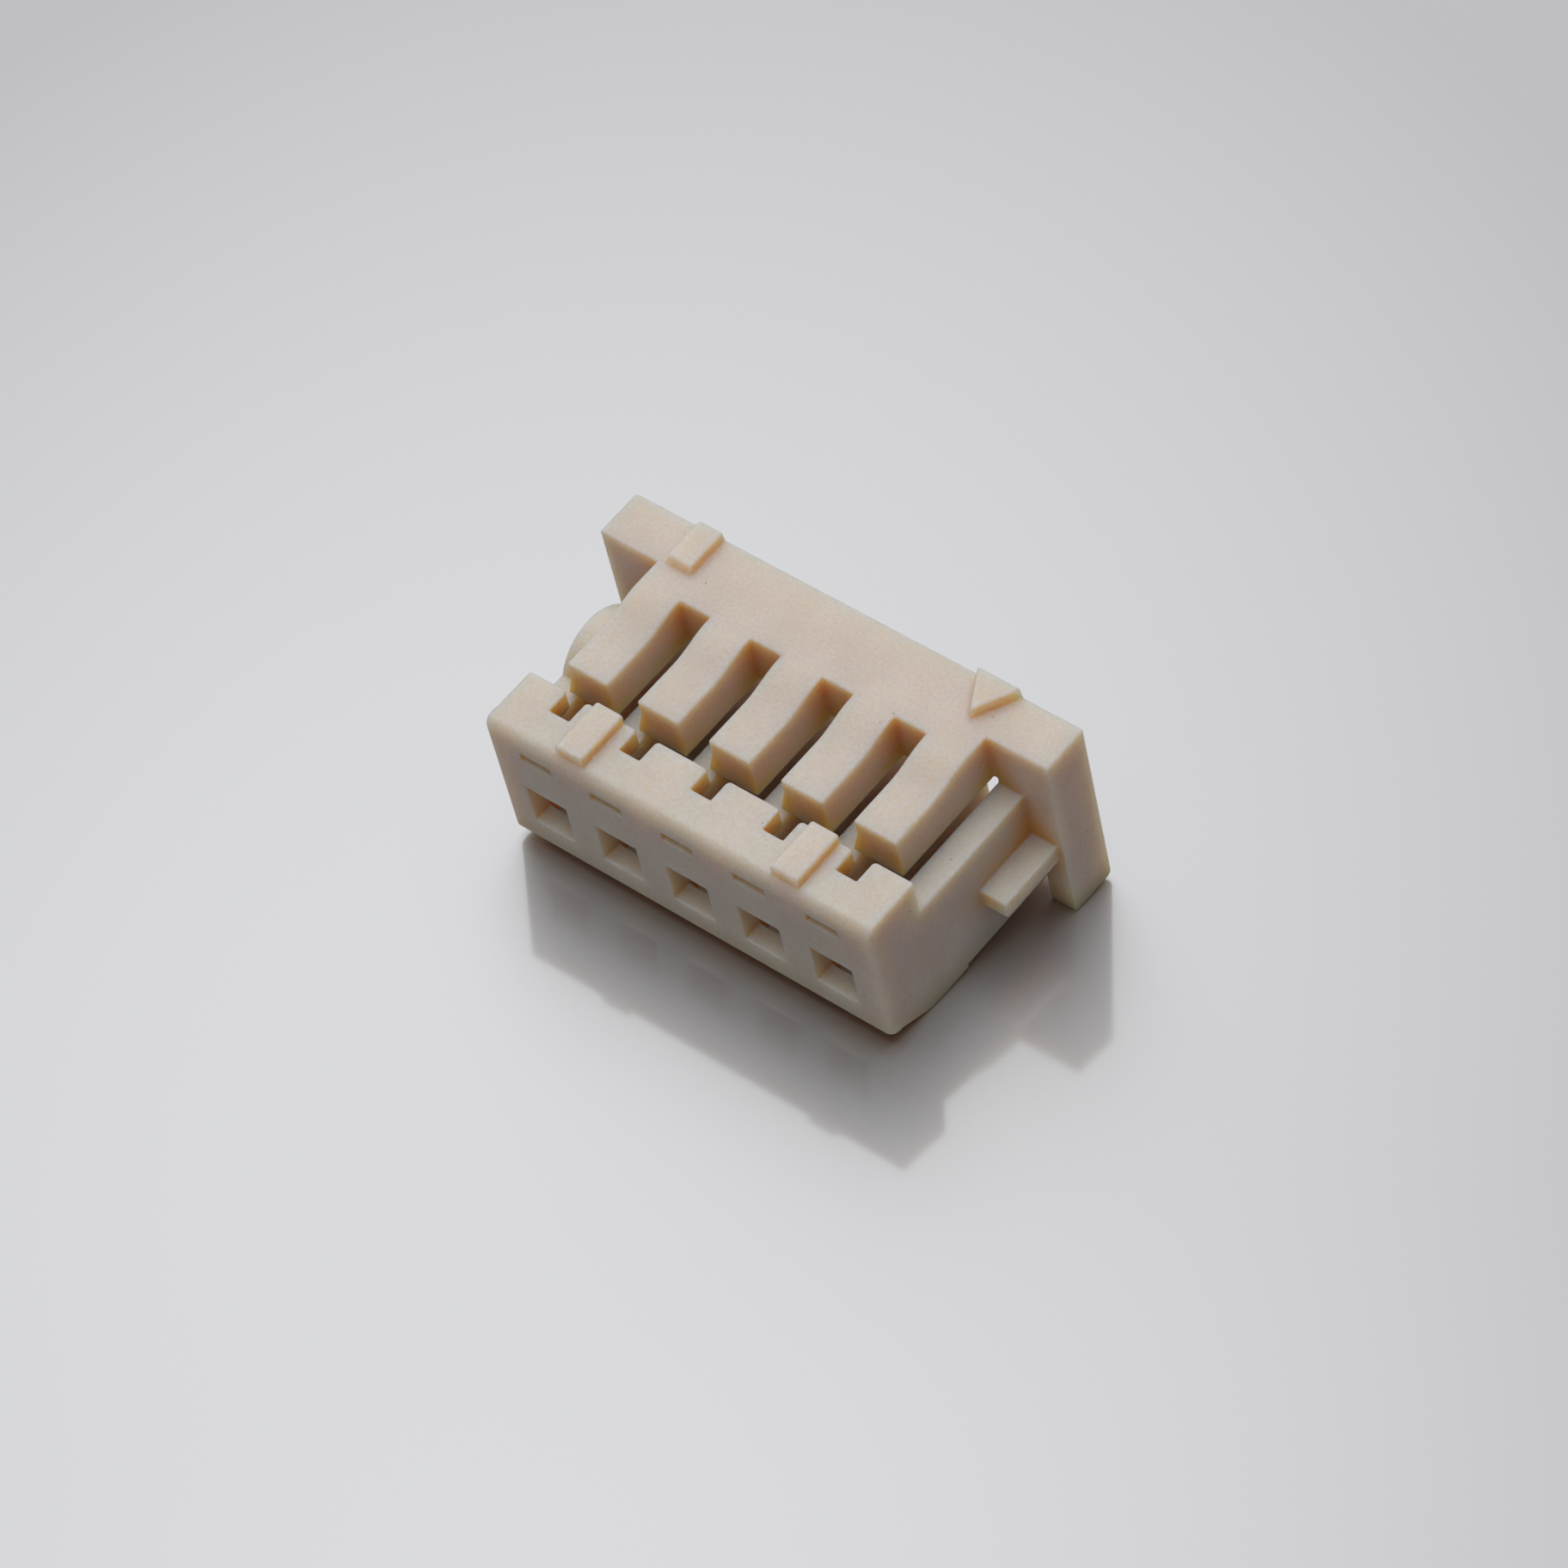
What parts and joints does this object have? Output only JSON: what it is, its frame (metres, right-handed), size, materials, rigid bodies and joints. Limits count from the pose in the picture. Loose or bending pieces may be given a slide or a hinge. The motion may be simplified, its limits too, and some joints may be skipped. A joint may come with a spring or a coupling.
{
  "type": "wire-to-board connector housing",
  "caption": "Moulded beige plastic housing of a small wire-to-board connector, with a row of contact cavities under locking lances, a slotted front bar, side lugs and an eared rear with legs.",
  "frame": {"origin": "centre of the box on the plane of the leg feet", "axes": "+X along the row towards the triangle mark, -Y out of the mating face, +Y the wire side, +Z the lance side"},
  "size_m": [0.0078, 0.004, 0.0033],
  "materials": {
    "plastic": "fine matt moulded beige"
  },
  "bodies": {
    "root": {"housing": "plastic"}
  },
  "joints": []
}
